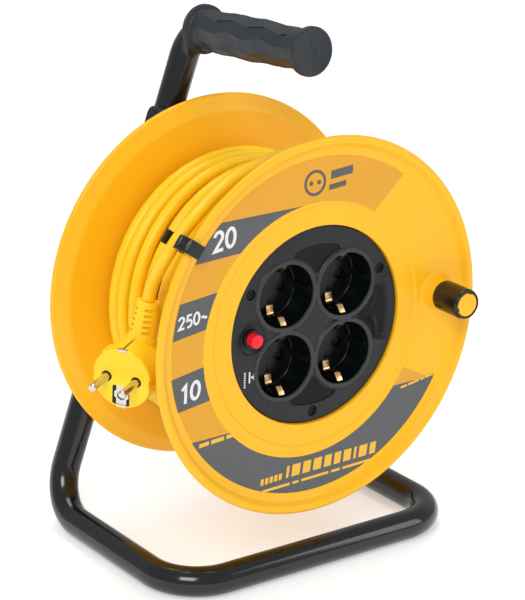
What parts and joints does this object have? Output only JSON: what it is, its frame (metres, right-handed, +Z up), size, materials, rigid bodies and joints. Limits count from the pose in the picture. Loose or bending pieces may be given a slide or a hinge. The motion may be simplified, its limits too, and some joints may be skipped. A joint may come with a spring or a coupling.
{
  "type": "extension cord reel",
  "caption": "Cord drum with earthed sockets, cranked by a knob, turning on a bent tube stand with a rubber carrying grip; its plug hangs in a rim clip.",
  "frame": {"origin": "centre of the base of the box around the reel without its cord and plug, at floor level", "axes": "+X to the right seen from the socket side, +Y from the sockets to the back, +Z up"},
  "size_m": [0.2598, 0.1812, 0.3329],
  "materials": {
    "frame_paint": "gloss black powder coat",
    "grip_rubber": "satin ribbed rubber",
    "black_moulding": "satin black moulding",
    "knob_black": "semi-gloss",
    "zinc_steel": "bright zinc plate",
    "drum_yellow": "satin injection moulding",
    "bearing_nylon": "natural nylon",
    "panel_anthracite": "fine grain anthracite",
    "contact_brass": "rolled strip",
    "cord_yellow": "soft cord sheath",
    "plug_yellow": "soft moulded plug",
    "plug_nickel": "nickel plate",
    "button_red": "gloss",
    "wire_brown": "wire insulation",
    "wire_blue": "wire insulation",
    "wire_green": "wire insulation"
  },
  "bodies": {
    "stand": {"frame_tube": "frame_paint", "leg_end_plug": "black_moulding", "handle_grip": "grip_rubber", "bracket_front": "black_moulding", "bracket_rear": "black_moulding", "bracket_screw_1": "zinc_steel", "bracket_screw_2": "zinc_steel", "bracket_screw_3": "zinc_steel", "bracket_screw_4": "zinc_steel", "spindle": "zinc_steel", "retaining_ring": "zinc_steel"},
    "drum": {"front_flange": "drum_yellow", "rear_flange": "drum_yellow", "drum_screw_1": "zinc_steel", "drum_screw_2": "zinc_steel", "drum_screw_3": "zinc_steel", "drum_screw_4": "zinc_steel", "spindle_bush": "bearing_nylon", "thrust_washer": "zinc_steel", "drum_core": "black_moulding", "socket_panel": "panel_anthracite", "panel_screw_1": "zinc_steel", "panel_screw_2": "zinc_steel", "panel_screw_3": "zinc_steel", "earth_strip_left": "contact_brass", "earth_strip_right": "contact_brass", "live_busbar": "contact_brass", "neutral_busbar": "contact_brass", "contact_carrier": "black_moulding", "carrier_screw_1": "zinc_steel", "carrier_screw_2": "zinc_steel", "thermal_cutout": "black_moulding", "inner_lead": "cord_yellow", "cord_clamp": "black_moulding", "clamp_screw_1": "zinc_steel", "clamp_screw_2": "zinc_steel", "wire_live": "wire_brown", "wire_neutral": "wire_blue", "wire_earth": "wire_green", "wire_cutout": "wire_brown", "earth_link": "contact_brass", "knob_pin": "zinc_steel", "knob_cap": "drum_yellow", "cord_clip": "black_moulding", "cord_winding": "cord_yellow", "cord_tail": "cord_yellow", "plug_boot": "plug_yellow", "plug_body": "plug_yellow", "plug_pin_left": "plug_nickel", "plug_pin_right": "plug_nickel", "plug_earth_top": "plug_nickel", "plug_earth_bottom": "plug_nickel", "plug_earth_socket": "plug_nickel"},
    "knob": {"knob_sleeve": "knob_black"},
    "button": {"reset_button": "button_red"}
  },
  "joints": [
    {"name": "drum_spin", "type": "hinge", "parent": "stand", "child": "drum", "pos_m": [0, -0.00532, 0.15354], "axis": [0, 1, 0], "continuous": true},
    {"name": "knob_spin", "type": "hinge", "parent": "drum", "child": "knob", "pos_m": [0.0909, -0.07933, 0.15904], "axis": [0, 1, 0], "continuous": true},
    {"name": "reset_press", "type": "slide", "parent": "drum", "child": "button", "axis": [0, 1, 0], "range_m": [0, 0.0025], "stiffness_N_per_m": 900, "springref_m": -0.002}
  ]
}
